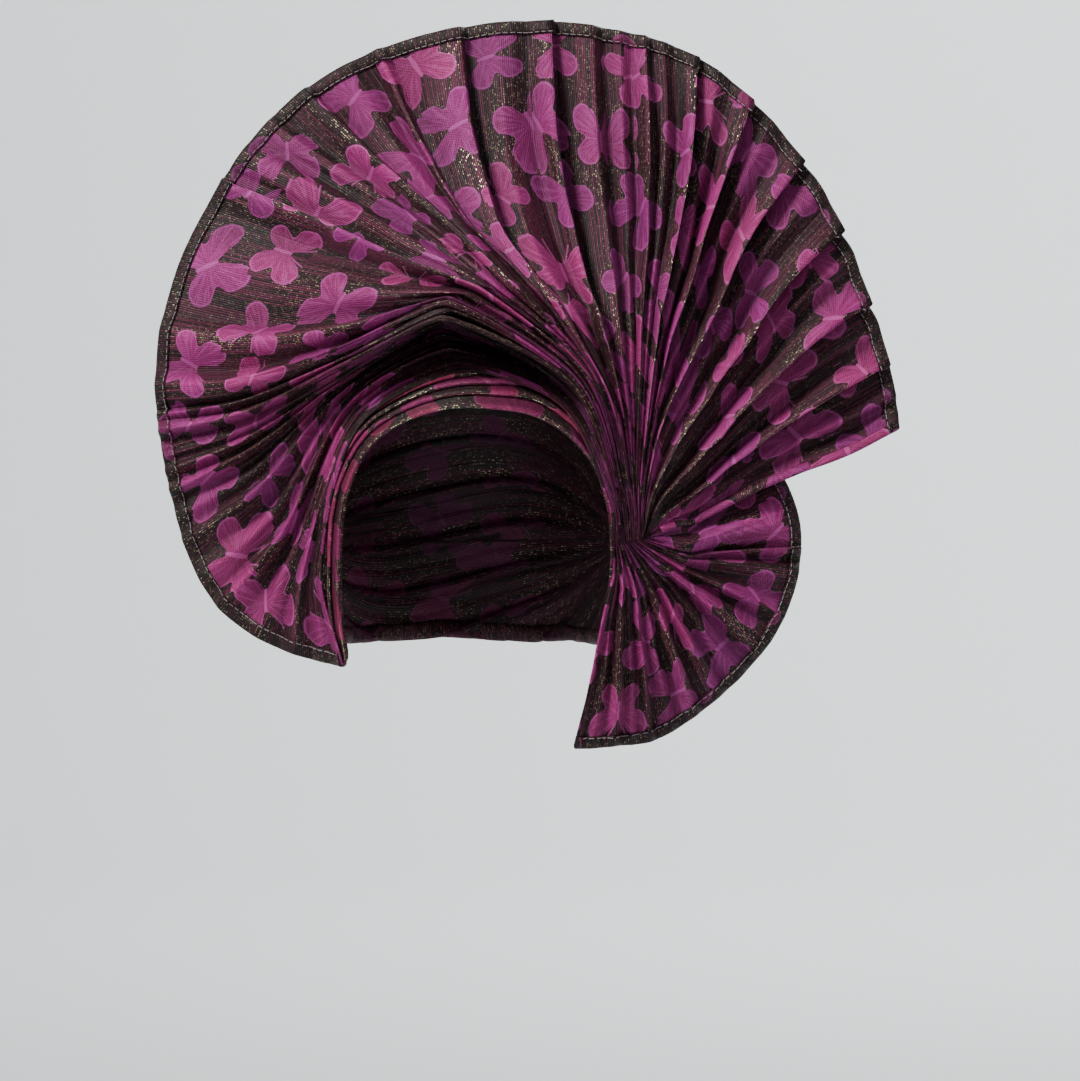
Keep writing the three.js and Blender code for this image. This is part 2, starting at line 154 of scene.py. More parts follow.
# turn round the opening, opening from its middle to the edge, share of it that brow pleats cover; degrees
EDGE = [
    (-154, 112, 0), (-130, 98, 0), (-113, 78, 0), (-102, 59, 3), (-92, 61, 11), (-78, 66, 11.5),
    (-64, 73, 10.5), (-48, 79, 9.5), (-32, 79, 9.5), (-16, 77.5, 11.5), (0, 75.5, 13.5), (16, 75, 14.5),
    (32, 73, 10), (46, 69.5, 6), (60, 63.5, 4.5), (72, 58.5, 4), (82, 54, 4), (96, 61, 0),
    (113, 80, 0), (131, 99, 0), (154, 112, 0), (180, 117, 0),
]


def curve_through(before, start, end, after, share, start_ease=0.5, end_ease=0.5):
    """Smooth curve from start to end that heads for the values before and after them."""
    bend = (end - before) * start_ease
    next_bend = (after - start) * end_ease
    rise = end - start
    first, last = 3 * rise - 2 * bend - next_bend, bend + next_bend - 2 * rise
    return start + share * (bend + share * (first + share * last))


def edge_at(turn):
    """Opening and stack of the cloth's edge at any turn, in degrees."""
    lap = len(EDGE)
    after = next((index for index, row in enumerate(EDGE) if row[0] > turn), lap)
    rows = []
    for index in range(after - 2, after + 2):
        own, opening, stack = EDGE[index % lap]
        rows.append((own + 360 * (index // lap), opening, stack))
    share = (turn - rows[1][0]) / (rows[2][0] - rows[1][0])
    return tuple(curve_through(*(row[key] for row in rows), share) for key in (1, 2))


def on_hollow(turn, opening, out):
    """A point that far out from the hollow, by turn round the opening's axis and angle open from it."""
    around, away = math.radians(turn), math.radians(opening)
    high = math.sin(away) * math.cos(around)
    x = math.sin(away) * math.sin(around)
    y = -math.cos(away) * math.cos(OPENING_TILT) - high * math.sin(OPENING_TILT)
    z = -math.cos(away) * math.sin(OPENING_TILT) + high * math.cos(OPENING_TILT)
    rise = HOLLOW_RISE if z > 0 else HOLLOW_DROP
    return Vector((x * (HOLLOW_HALF_WIDTH + out), y * (HOLLOW_HALF_LENGTH + out), z * (rise + out)))


def smooth_step(value, low, high):
    share = min(max((value - low) / (high - low), 0), 1)
    return share * share * (3 - 2 * share)


def folded_edge(phase):
    """Height from 0 to 1 across one fold: it climbs slowly, then drops at the folded edge."""
    share = phase % 1
    return smooth_step(share, -0.35, 0.86) * (1 - smooth_step(share, 0.9, 1.0))


def sheet_of(rows):
    """A bmesh grid laid over rows of points, and the row and column of each of its corners."""
    mesh = bmesh.new()
    row_count, column_count = len(rows) - 1, len(rows[0]) - 1
    bmesh.ops.create_grid(mesh, x_segments=column_count, y_segments=row_count, size=1)
    cells = {}
    for vertex in mesh.verts:
        column = round((vertex.co.x + 1) / 2 * column_count)
        row = round((vertex.co.y + 1) / 2 * row_count)
        cells[vertex] = (row, column)
        vertex.co = rows[row][column]
    return mesh, cells


def scattered_butterflies(width, length, spacing, half_span, seed):
    """Butterflies strewn over a cloth: middle, heading, half span and tone of each."""
    draw = random.Random(seed)
    found = []
    for row in range(-1, math.ceil(length / (spacing * 0.82)) + 2):
        for column in range(-1, math.ceil(width / spacing) + 2):
            across = (column + (0.5 if row % 2 else 0) + draw.uniform(-0.16, 0.16)) * spacing
            along = (row + 0.45 + draw.uniform(-0.16, 0.16)) * spacing * 0.82
            heading = draw.uniform(-math.pi, math.pi)
            found.append((across, along, heading, half_span * draw.uniform(0.82, 1.12), draw.random()))
    return found


def tree_of(points):
    tree = kdtree.KDTree(len(points))
    for index, point in enumerate(points):
        tree.insert(point, index)
    tree.balance()
    return tree


def lay_cloth(mesh, cells, cloth_at, crest_at, butterflies):
    """Gives each face its place on the flat cloth in metres and on its nearest butterfly.

    The third map holds that butterfly's tone and how high the place lies on its fold, from 0 to 1; the
    brocade turns that height into painted shade low in folds and painted glint of gold on crests.
    """
    cloth_map = mesh.loops.layers.uv.new("cloth")
    motif_map = mesh.loops.layers.uv.new("motif")
    tone_map = mesh.loops.layers.uv.new("tone")
    tree = tree_of([(butterfly[0], butterfly[1], 0) for butterfly in butterflies])
    for face in mesh.faces:
        face.smooth = True
        face_cells = [cells[vertex] for vertex in face.verts]
        first = (min(cell[0] for cell in face_cells), min(cell[1] for cell in face_cells))
        places = [cloth_at(cell, first) for cell in face_cells]
        middle = [sum(place[axis] for place in places) / len(places) for axis in (0, 1)]
        near = tree.find_n((middle[0], middle[1], 0), 3)
        best = min(near, key=lambda hit: hit[2] / butterflies[hit[1]][3])
        u, v, heading, half_span, tone = butterflies[best[1]]
        ahead, aside = math.cos(heading), math.sin(heading)
        for loop, place, cell in zip(face.loops, places, face_cells):
            loop[cloth_map].uv = place
            du, dv = (place[0] - u) / half_span, (place[1] - v) / half_span
            loop[motif_map].uv = (du * ahead + dv * aside, dv * ahead - du * aside)
            loop[tone_map].uv = (tone, crest_at(cell))


def lengths_along(points):
    total = [0.0]
    for start_point, end_point in zip(points, points[1:]):
        total.append(total[-1] + (end_point - start_point).length)
    return total


def away_from(points):
    """Direction to a place on the piece from the nearest of the points that lie inside or behind it."""
    tree = tree_of(points)
    return lambda place: place - tree.find(place)[0]


def cloth_piece(name, mesh, materials, wall, outward):
    """Makes the object, turns its faces outward and gives the cloth its thickness; says how large it is."""
    mesh.normal_update()
    facing = sum(face.normal.dot(outward(face.calc_center_median()).normalized()) * face.calc_area()
                 for face in mesh.faces)
    if facing < 0:
        bmesh.ops.reverse_faces(mesh, faces=mesh.faces[:])
    area = sum(face.calc_area() for face in mesh.faces)
    piece = in_scene(name, mesh_data(name, mesh))
    for material in materials:
        piece.data.materials.append(material)
    if wall:
        thick = piece.modifiers.new("cloth_wall", "SOLIDIFY")
        thick.thickness = wall
        thick.offset = -1
        thick.material_offset = len(materials) - 1
    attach(piece, "root")
    return piece, area


def build_brocade_group():
    """Shader group for the brocade: ribs with gold thread on a dark ground, and one butterfly per cell."""
    group = bpy.data.node_groups.new("brocade", "ShaderNodeTree")
    for in_out, kind, labels in (
        ("INPUT", "Vector", ("Cloth", "Motif")),
        ("INPUT", "Float", ("Tone", "Crest")),
        ("INPUT", "Color", ("Ground", "Ground Thread", "Wing", "Wing Vein", "Gold")),
        ("INPUT", "Float", ("Gold Amount", "Rib Pitch")),
        ("OUTPUT", "Color", ("Color",)),
        ("OUTPUT", "Float", ("Metallic", "Roughness", "Height")),
    ):
        for label in labels:
            group.interface.new_socket(label, in_out=in_out, socket_type="NodeSocket" + kind)
    nodes, links = group.nodes, group.links
    given = nodes.new("NodeGroupInput").outputs
    result = nodes.new("NodeGroupOutput").inputs

    def feed(sockets, values):
        """Links each socket to the node output given for it, or sets it to the plain value."""
        for socket, value in zip(sockets, values):
            if isinstance(value, bpy.types.NodeSocket):
                links.new(value, socket)
            else:
                socket.default_value = value

    def calc(kind, *values):
        node = nodes.new("ShaderNodeMath")
        node.operation = kind
        feed(node.inputs, values)
        return node.outputs[0]

    def plus(*values):
        return calc("ADD", *values)

    def minus(*values):
        return calc("SUBTRACT", *values)

    def times(*values):
        return calc("MULTIPLY", *values)

    def off_middle(value):
        """How far a value is from the middle of its own whole step."""
        return calc("ABSOLUTE", minus(calc("FRACT", value), 0.5))

    def joined(*values):
        node = nodes.new("ShaderNodeCombineXYZ")
        feed(node.inputs, values)
        return node.outputs[0]

    def soft_mask(value, low, high):
        node = nodes.new("ShaderNodeMapRange")
        node.interpolation_type = "SMOOTHSTEP"
        feed([node.inputs[label] for label in ("Value", "From Min", "From Max")], (value, low, high))
        return node.outputs["Result"]

    def blend(share, low, high):
        node = nodes.new("ShaderNodeMix")
        node.data_type = "RGBA"
        feed([node.inputs[index] for index in (0, 6, 7)], (share, low, high))
        return node.outputs[2]

    def noise_at(place, detail):
        node = nodes.new("ShaderNodeTexNoise")
        feed([node.inputs[label] for label in ("Vector", "Scale", "Detail")], (place, 1, detail))
        return node.outputs["Fac"]

    def uneven(scale_u, scale_v, detail):
        """Noise over the cloth, stretched by its two scales per metre."""
        stretch = nodes.new("ShaderNodeVectorMath")
        stretch.operation = "MULTIPLY"
        feed(stretch.inputs, (given["Cloth"], (scale_u, scale_v, 1)))
        return noise_at(stretch.outputs[0], detail)

    cloudy = uneven(30, 22, 2)
    fuzz = uneven(600, 600, 2)

    # Ribs run down the cloth, each a rounded cord; wine thread fills between them where it is let through.
    cloth = nodes.new("ShaderNodeSeparateXYZ")
    links.new(given["Cloth"], cloth.inputs[0])
    wander = times(minus(uneven(60, 14, 1), 0.5), 0.0018)
    across = calc("DIVIDE", plus(cloth.outputs["X"], wander), given["Rib Pitch"])
    along = calc("DIVIDE", cloth.outputs["Y"], given["Rib Pitch"])
    rib_number = calc("FLOOR", across)
    rib = minus(1, times(off_middle(across), 2))

    def chance(along_step, layer, place=along):
        """One random value for each stretch of each rib."""
        draw = nodes.new("ShaderNodeTexWhiteNoise")
        stretch_number = calc("FLOOR", calc("DIVIDE", place, along_step))
        links.new(joined(rib_number, stretch_number, layer), draw.inputs["Vector"])
        return draw.outputs["Value"]

    # Gold thread floats over the ribs in short stretches of uneven brightness. Far more of it is put on
    # the crests of folds, as a painted glint. Lengths along a rib are counted in ribs.
    float_length = 1.25
    patches = soft_mask(cloudy, 0.30, 0.70)
    shifted = plus(along, times(chance(4000, 2.0), 9))
    floats = soft_mask(minus(0.5, off_middle(calc("DIVIDE", shifted, float_length))), 0.10, 0.28)
    bright = calc("POWER", chance(float_length, 1.0, shifted), 4.5)
    # Painted glint: gold flecks grow much denser on the crests of folds.
    crest_glint = plus(0.22, times(calc("POWER", given["Crest"], 3), 1.35))
    often = times(times(given["Gold Amount"], crest_glint), plus(0.25, patches))
    fleck = times(floats, soft_mask(rib, 0.40, 0.85))
    gold_mask = calc("MINIMUM", times(times(bright, often), fleck), 1)

    # Wing outline by angle round the body: broad fore wings, round hind wings, and a short tail. The tone
    # shifts how much of the outline the fore wings take, so that no two butterflies are quite alike.
    wing = nodes.new("ShaderNodeSeparateXYZ")
    links.new(given["Motif"], wing.inputs[0])
    side, ahead = calc("ABSOLUTE", wing.outputs["X"]), wing.outputs["Y"]
    angle = calc("DIVIDE", calc("ARCTAN2", side, ahead), math.pi)
    angle = calc("POWER", angle, plus(0.78, times(given["Tone"], 0.5)))
    distance = calc("SQRT", plus(calc("POWER", side, 2), calc("POWER", ahead, 2)))
    outline_curve = nodes.new("ShaderNodeFloatCurve")
    points = [
        (0.0, 0.20), (0.07, 0.24), (0.13, 0.66), (0.19, 0.97), (0.25, 1.0), (0.33, 0.90), (0.41, 0.74),
        (0.48, 0.50), (0.54, 0.58), (0.62, 0.80), (0.71, 0.84), (0.80, 0.74), (0.88, 0.50), (0.94, 0.27),
        (1.0, 0.30),
    ]
    curve = outline_curve.mapping.curves[0]
    curve.points[0].location = points[0]
    curve.points[1].location = points[-1]
    for point in points[1:-1]:
        curve.points.new(*point)
    outline_curve.mapping.update()
    links.new(angle, outline_curve.inputs["Value"])
    edge_share = calc("DIVIDE", distance, outline_curve.outputs[0])
    ragged = plus(edge_share, times(minus(fuzz, 0.5), 0.05))
    wing_mask = minus(1, soft_mask(ragged, 0.95, 1.0))

    # Two feelers in front, a slim body, and on the wings a pale rim, veins, streaks and sunk stitches.
    off_feeler = calc("ABSOLUTE", minus(side, times(ahead, 0.42)))
    feeler_reach = times(calc("LESS_THAN", distance, 0.72), calc("GREATER_THAN", ahead, 0.1))
    feeler_mask = times(calc("LESS_THAN", off_feeler, 0.022), feeler_reach)
    winged = calc("MAXIMUM", wing_mask, times(feeler_mask, 0.8))
    body = calc("LESS_THAN", plus(times(side, 13), calc("ABSOLUTE", ahead)), 0.62)
    rim_mask = soft_mask(edge_share, 0.89, 0.95)
    streaks = noise_at(joined(times(angle, 26), times(distance, 1.6), times(given["Tone"], 40)), 1)
    streak_mask = soft_mask(streaks, 0.48, 0.70)
    vein_mask = minus(1, soft_mask(times(off_middle(times(angle, 9)), distance), 0.010, 0.032))
    vein_mask = times(vein_mask, soft_mask(distance, 0.12, 0.45))
    lines = calc("MAXIMUM", times(vein_mask, 0.70), times(rim_mask, 0.85))
    lines = calc("MAXIMUM", lines, calc("MAXIMUM", times(streak_mask, 0.50), body))
    pits = soft_mask(off_middle(times(plus(along, times(rib_number, 0.5)), 0.8)), 0.14, 0.34)
    pits = times(pits, plus(0.35, times(chance(float_length, 5.0), 0.65)))
    dull = calc("MINIMUM", plus(times(pits, 0.85), times(patches, 0.25)), 1)

    # Ground between the butterflies: near black, with wine thread on some ribs and in cloudy patches. The
    # patches are partly that thread and partly a painted sheen of the shot cloth.
    wine_thread_and_sheen = soft_mask(plus(chance(60, 9.0), times(minus(1, cloudy), 1.1)), 0.95, 1.35)
    thread = times(plus(wine_thread_and_sheen, times(chance(2.6, 3.0), 0.30)), 0.70)
    thread = times(thread, soft_mask(rib, 0.05, 0.45))
    ground = blend(thread, given["Ground"], given["Ground Thread"])

    # The tone shifts each butterfly's shade. Painted shade darkens the cloth low in a fold, and gold
    # lies over it all.
    wing_fill = blend(dull, given["Wing"], given["Ground Thread"])
    shade = nodes.new("ShaderNodeHueSaturation")
    links.new(blend(times(lines, 0.72), wing_fill, given["Wing Vein"]), shade.inputs["Color"])
    links.new(plus(0.80, times(given["Tone"], 0.38)), shade.inputs["Value"])
    links.new(plus(0.484, times(given["Tone"], 0.032)), shade.inputs["Hue"])
    painted_fold_shade = nodes.new("ShaderNodeHueSaturation")
    links.new(blend(winged, ground, shade.outputs["Color"]), painted_fold_shade.inputs["Color"])
    # Painted shade: the colour's value runs from 1.08 on crests down to 0.50 low in folds.
    links.new(plus(0.50, times(given["Crest"], 0.58)), painted_fold_shade.inputs["Value"])
    gold_mask = times(gold_mask, minus(1, times(winged, 0.86)))
    links.new(blend(gold_mask, painted_fold_shade.outputs["Color"], given["Gold"]), result["Color"])
    links.new(times(gold_mask, 0.85), result["Metallic"])
    links.new(minus(0.56, times(gold_mask, 0.26)), result["Roughness"])
    raised = minus(plus(times(rib, 0.6), times(winged, 0.5)), times(times(pits, winged), 0.35))
    links.new(plus(raised, times(fuzz, 0.5)), result["Height"])
    return group


brocade = build_brocade_group()


def gele_cloth(name, ground, thread, wing, vein, gold_amount):
    """Brocade in its own shades: ground, thread between the ribs, wings and their veins."""
    material, nodes, links, look = new_material(name)
    weave = nodes.new("ShaderNodeGroup")
    weave.node_tree = brocade
    tone = nodes.new("ShaderNodeSeparateXYZ")
    for map_name, socket in (
        ("cloth", weave.inputs["Cloth"]), ("motif", weave.inputs["Motif"]), ("tone", tone.inputs[0])
    ):
        uv = nodes.new("ShaderNodeUVMap")
        uv.uv_map = map_name
        links.new(uv.outputs["UV"], socket)
    links.new(tone.outputs["X"], weave.inputs["Tone"])
    links.new(tone.outputs["Y"], weave.inputs["Crest"])
    shades = {"Ground": ground, "Ground Thread": thread, "Wing": wing, "Wing Vein": vein, "Gold": GOLD_THREAD}
    for label, value in shades.items():
        weave.inputs[label].default_value = (*value, 1)
    weave.inputs["Gold Amount"].default_value = gold_amount
    weave.inputs["Rib Pitch"].default_value = RIB_PITCH
    for label, socket in (("Color", "Base Color"), ("Metallic", "Metallic"), ("Roughness", "Roughness")):
        links.new(weave.outputs[label], look[socket])
    bump = nodes.new("ShaderNodeBump")
    bump.inputs["Distance"].default_value = RIB_RELIEF
    bump.inputs["Strength"].default_value = 0.8
    links.new(weave.outputs["Height"], bump.inputs["Height"])
    links.new(bump.outputs["Normal"], look["Normal"])
    look["Specular IOR Level"].default_value = 0.24
    return material


wrap_cloth = gele_cloth(
    "wrap_brocade", (0.018, 0.009, 0.010), (0.14, 0.018, 0.055), (0.27, 0.020, 0.135),
    (0.40, 0.065, 0.24), 1.1
)
cloth_reverse = gele_cloth(
    "brocade_reverse", (0.015, 0.008, 0.009), (0.075, 0.011, 0.032), (0.105, 0.012, 0.058),
    (0.14, 0.030, 0.085), 0.6
)
crown_rows, crown_folds = [], []
for row in range(CROWN_ROWS + 1):
    ring = row / CROWN_ROWS
    points, folds = [], []
    for column in range(CROWN_COLUMNS + 1):
        turn = -180 + 360 * column / CROWN_COLUMNS
        opening, stack = edge_at(turn + 360 if turn < EDGE[0][0] else turn)
        lip = opening + 1.5 * smooth_step(stack, 0, 1)
        opened = 180 - max(ring, 0.002) * (180 - lip)
        base = on_hollow(turn, opened, CROWN_WALL)
        over = math.atan2(base.z + WRAP_AXIS_DROP, -base.y)
        slant = WRAP_SLANT * base.x / HOLLOW_HALF_WIDTH + SLANT_WANDER * noise.noise(base * 11)
        phase = over / TURN_OF_WRAP + slant
        fold = folded_edge(phase)
        small_fold = folded_edge(phase * 3 + 0.4)
        spread = smooth_step(HOLLOW_HALF_WIDTH * 0.98 - abs(base.x), 0.0, 0.03)
        behind = smooth_step(base.y, -0.035, 0.005)
        wrinkle = noise.noise(Vector((base.x * 16, over * 14, 4.0))) * WRINKLE_DEPTH
        height = (WRAP_STEP * fold + SMALL_WRAP_STEP * small_fold) * spread + wrinkle
        points.append(on_hollow(turn, opened, CROWN_WALL + height * behind))
        turn_width = math.hypot(base.y, base.z + WRAP_AXIS_DROP) * TURN_OF_WRAP
        folds.append((phase, turn_width, 0.75 * fold + 0.25 * small_fold))
    crown_rows.append(points)
    crown_folds.append(folds)
crown_mesh, crown_cells = sheet_of(crown_rows)
STRIP_STEP = 0.083
STRIP_MIDDLE = 0.1
WRAP_RUN = 2.4
BUTTERFLY_REACH = 0.052


def crown_cloth_at(cell, first):
    """Each turn of the wrap shows its own strip of the cloth, counted from the middle of that turn."""
    turn_number = math.floor(crown_folds[first[0]][first[1]][0])
    phase, width, _ = crown_folds[cell[0]][cell[1]]
    across = turn_number * STRIP_STEP + (phase - turn_number - 0.5) * width
    return across, crown_rows[cell[0]][cell[1]].x + STRIP_MIDDLE


# Where the turns run together at the temples, the butterflies are folded away and plain ribs show.
crown_butterflies = [
    (across - WRAP_RUN / 2, along, *shape)
    for across, along, *shape in scattered_butterflies(WRAP_RUN, 0.2, 0.047, 0.0225, seed=5)
    if abs(along - STRIP_MIDDLE) < BUTTERFLY_REACH
]
# How high each place lies on its fold gives painted shade low in the fold and painted glint on its edge.
lay_cloth(crown_mesh, crown_cells, crown_cloth_at, lambda cell: crown_folds[cell[0]][cell[1]][2],
          crown_butterflies)
bmesh.ops.remove_doubles(crown_mesh, verts=crown_mesh.verts[:], dist=0.00002)
crown, crown_area = cloth_piece("crown_wrap_cloth", crown_mesh, [wrap_cloth, cloth_reverse],
                                CROWN_CLOTH, away_from([Vector((0, 0, 0))]))
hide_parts("crown_wrap")

# Brow pleats: four folds of the same brocade across the front of the crown, laid like shingles with their
# folded edges towards the opening. Each is a flattened loop that lies on the one below and on the crown.
BROW_START = -102
BROW_END = 82
BROW_PLEATS = 4
BROW_WALL = 0.0016
GAP = 0.0003
BROW_COLUMNS = 260
PUCKER_DEPTH = 0.00022
BROW_STRIP_STEP = 0.031

brow_cloth = gele_cloth(
    "brow_brocade", (0.014, 0.012, 0.012), (0.10, 0.014, 0.036), (0.27, 0.018, 0.096),
    (0.36, 0.05, 0.15), 1.7
)
# climb: share of the way up the pleat. wall: share of its thickness. The list goes down outside, round
# the folded edge, and back up inside. The pleat's length is measured near its highest row.
BROW_PROFILE = [
    (1.85, 1), (1.4, 1), (1.15, 1), (1.0, 1), (0.85, 1), (0.7, 1), (0.55, 1.02), (0.4, 1.06), (0.28, 1.1),
    (0.18, 1.12), (0.1, 1.1), (0.04, 1.0), (0.0, 0.82), (-0.015, 0.55), (0.0, 0.25), (0.05, 0.06), (0.14, 0),
    (0.35, 0), (0.7, 0), (1.0, 0), (1.4, 0), (1.85, 0),
]
HIGH_ROW = 9
for number in range(1, BROW_PLEATS + 1):
    lifted = BROW_WALL + GAP if number > 1 else 0
    turns = [BROW_START + (BROW_END - BROW_START) * column / BROW_COLUMNS
             for column in range(BROW_COLUMNS + 1)]
    rows = []
    for climb, wall in BROW_PROFILE:
        points = []
        for turn in turns:
            opening, stack = edge_at(turn)
            pitch = stack / (BROW_PLEATS - 1)
            waver = noise.noise(Vector((turn * 0.045, number * 5.0, 1.0))) * (0.12 if number > 1 else 0.03)
            lift = 1 - smooth_step(climb, 0.35, 1.0)
            pucker = PUCKER_DEPTH * noise.noise(Vector((turn * 0.35, climb * 1.5, number * 3.0))) * wall
            out = CROWN_WALL + GAP + lifted * lift + BROW_WALL * wall + pucker
            points.append(on_hollow(turn, opening + pitch * (number - 1 + climb + waver), out))
        rows.append(points)
    mesh, cells = sheet_of(rows)
    along_brow = lengths_along(rows[HIGH_ROW])
    up_brow = lengths_along([points[BROW_COLUMNS // 2] for points in rows])
    strip_start = number * BROW_STRIP_STEP
    # The folded edge counts as the crest: painted highlight and painted glint of gold along it, painted shade
    # over the rest.
    lay_cloth(mesh, cells, lambda cell, first: (up_brow[cell[0]] + strip_start, along_brow[cell[1]]),
              lambda cell: 1 - smooth_step(abs(BROW_PROFILE[cell[0]][0]), 0.05, 0.5),
              scattered_butterflies(0.2, 0.36, 0.052, 0.027, seed=11 + number))
    centreline = [sum((points[column] for points in rows), Vector()) / len(rows)
                  for column in range(BROW_COLUMNS + 1)]
    loose = [edge for edge in mesh.edges if edge.is_boundary]
    bmesh.ops.holes_fill(mesh, edges=loose, sides=0)
    piece, area = cloth_piece(f"brow_fold_{number}", mesh, [brow_cloth], 0,
                              away_from(centreline))
    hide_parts(f"brow_pleat_{number}")

# Great fan: one long length of the brocade, folded into knife pleats that stand in a round rim, bend over
# the brow in an arch, and run together at the temple. The stiff cloth holds the pleats without support.
FAN_RADIUS = 0.178
FAN_CENTRE = (0.323 * HOLLOW_HALF_WIDTH, 0.824 * HOLLOW_RISE)
PINCH = (1.147 * HOLLOW_HALF_WIDTH, -0.142 * HOLLOW_RISE)
PINCH_OUT = 0.46 * HOLLOW_HALF_LENGTH
PINCH_LEAN = 0.15 * HOLLOW_HALF_LENGTH
PINCH_RADIUS = 0.022
OVER_LAYERS = 0.0060
CLOTH_WALL = 0.0011
FAN_FOLD = 0.0145
FAN_COLUMNS_PER_LINE = 38
FAN_ROWS = 92
GATHER_ROWS = 26
KNEE = 3
KNEE_BEND = 0.35
KNEE_STRAY_RIGHT = 0.085
KNEE_STRAY_UP = 0.036
STRAY_PACE = 4.3
WAIST_OUTER = (0.0870, -0.0085)
WAIST_RUN = (0.0160, 0.0045)
WAIST_SWELL = 0.003
# angle and reach of the rim; mid and shoulder right and up of the fan's middle, in shares of its radius;
# knee, hip and throat right and up of the hollow's middle, in shares of its half width and rise;
# then how far rim, mid, shoulder, knee and hip stand forward, in shares of the hollow's half length
FAN_LINES = [
    (-8, 1.07, 0.92, -0.22, 0.76, -0.28, 1.77, 0.12, 1.49, -0.01, 1.35, -0.03, 0.10, 0.14, 0.17, 0.20, 0.25),
    (14, 1.00, 0.82, 0.13, 0.68, -0.01, 1.64, 0.51, 1.44, 0.31, 1.25, 0.12, 0.06, 0.13, 0.18, 0.23, 0.28),
    (39, 1.00, 0.63, 0.40, 0.53, 0.17, 1.37, 0.80, 1.24, 0.51, 1.16, 0.19, 0.02, 0.09, 0.18, 0.27, 0.36),
    (62, 1.02, 0.47, 0.63, 0.43, 0.38, 1.24, 1.14, 1.16, 0.56, 1.12, 0.22, 0.00, 0.07, 0.18, 0.31, 0.42),
    (78, 1.00, 0.22, 0.66, 0.25, 0.38, 0.98, 1.12, 1.04, 0.62, 1.07, 0.22, -0.02, 0.07, 0.20, 0.38, 0.48),
    (101, 0.99, -0.14, 0.66, -0.05, 0.39, 0.56, 1.20, 0.90, 0.71, 1.04, 0.20, -0.04, 0.09, 0.33, 0.60, 0.57),
    (128, 1.00, -0.39, 0.58, -0.21, 0.42, 0.26, 1.28, 0.81, 0.80, 1.01, 0.19, -0.02, 0.15, 0.46, 0.72, 0.62),
    (150, 0.99, -0.56, 0.38, -0.33, 0.28, 0.05, 1.24, 0.75, 0.79, 0.99, 0.18, 0.02, 0.28, 0.62, 0.81, 0.67),
    (180, 1.01, -0.75, 0.00, -0.47, 0.07, -0.12, 1.18, 0.68, 0.77, 0.97, 0.17, 0.08, 0.38, 0.70, 0.87, 0.72),
    (189, 1.01, -0.75, -0.11, -0.475, 0.01, -0.13, 1.10, 0.66, 0.75, 0.95, 0.16,
     0.11, 0.35, 0.66, 0.85, 0.70),
    (199, 1.02, -0.74, -0.22, -0.50, -0.04, -0.18, 1.08, 0.63, 0.72, 0.94, 0.15,
     0.14, 0.28, 0.40, 0.34, 0.59),
    (219, 1.05, -0.64, -0.44, -0.46, -0.09, -0.12, 0.94, 0.62, 0.68, 0.93, 0.13,
     0.22, 0.33, 0.46, 0.50, 0.58),
    (239, 0.94, -0.54, -0.53, -0.43, -0.15, -0.03, 0.82, 0.60, 0.63, 0.91, 0.11,
     0.38, 0.46, 0.60, 0.66, 0.60),
]
# at: place counted in lines. rise: share of the full depth. valley: share of the way on to the next pleat
# at which the cloth is deepest. lean: how far the crest leans over sideways, in lines.
FAN_PLEATS = [
    (0.00, 0.55, 0.86, 0), (0.30, 0.50, 0.80, 0), (0.58, 0.95, 0.50, -0.08), (0.76, 0.42, 0.80, 0),
    (1.00, 1.05, 0.45, -0.11), (1.24, 0.45, 0.80, 0), (1.50, 1.05, 0.40, -0.10), (1.72, 0.48, 0.80, 0),
    (2.00, 1.00, 0.40, -0.09), (2.24, 0.50, 0.75, 0), (2.50, 1.00, 0.45, -0.07), (2.76, 0.55, 0.75, 0),
    (3.00, 1.00, 0.50, -0.08), (3.26, 0.45, 0.60, 0), (3.50, 0.85, 0.50, -0.04), (3.76, 0.50, 0.60, 0),
    (4.00, 0.80, 0.80, 0), (4.40, 0.95, 0.30, -0.08), (4.70, 0.55, 0.70, 0), (5.00, 1.00, 0.88, -0.05),
    (5.46, 0.85, 0.25, 0), (5.74, 0.50, 0.60, -0.03), (6.02, 1.00, 0.70, -0.07), (6.30, 0.45, 0.65, 0),
    (6.60, 0.65, 0.80, 0), (6.96, 1.05, 0.30, -0.10), (7.36, 0.70, 0.62, -0.03), (7.78, 1.00, 0.50, -0.06),
    (8.14, 0.95, 0.75, -0.04), (8.62, 0.80, 0.50, 0), (9.00, 1.10, 0.35, 0), (9.45, 0.60, 0.50, 0),
    (9.75, 0.85, 0.50, -0.03), (10.0, 1.00, 0.50, -0.04), (10.22, 0.45, 0.55, 0), (10.45, 0.90, 0.55, -0.04),
    (10.70, 0.45, 0.55, 0), (11.0, 1.00, 0.55, -0.05), (11.28, 0.50, 0.55, 0), (11.55, 0.80, 0.55, 0),
    (11.80, 0.40, 0.50, 0), (12.0, 0.25, 0.50, 0),
]
# how far the rim is set back at the far side of the panel that hangs from the pleat at this place
RIM_STEPS = {0.76: 0.022, 1.24: 0.018, 1.72: 0.010, 2.24: 0.004}


def row_through(rows, place, key):
    start_row = min(int(place), len(rows) - 2)
    around = [rows[min(max(index, 0), len(rows) - 1)][key] for index in range(start_row - 1, start_row + 3)]
    return curve_through(*around, place - start_row)


def along_line(points, place):
    """A point on the line through the points, smooth but for a tighter bend at the knee."""
    index = min(int(place), len(points) - 2)
    start_point, end_point = points[index], points[index + 1]
    before = points[index - 1] if index else start_point * 2 - end_point
    after = points[index + 2] if index + 2 < len(points) else end_point * 2 - start_point
    start_ease = 0.5 * KNEE_BEND if index == KNEE else 0.5
    end_ease = 0.5 * KNEE_BEND if index + 1 == KNEE else 0.5
    return curve_through(before, start_point, end_point, after, place - index, start_ease, end_ease)


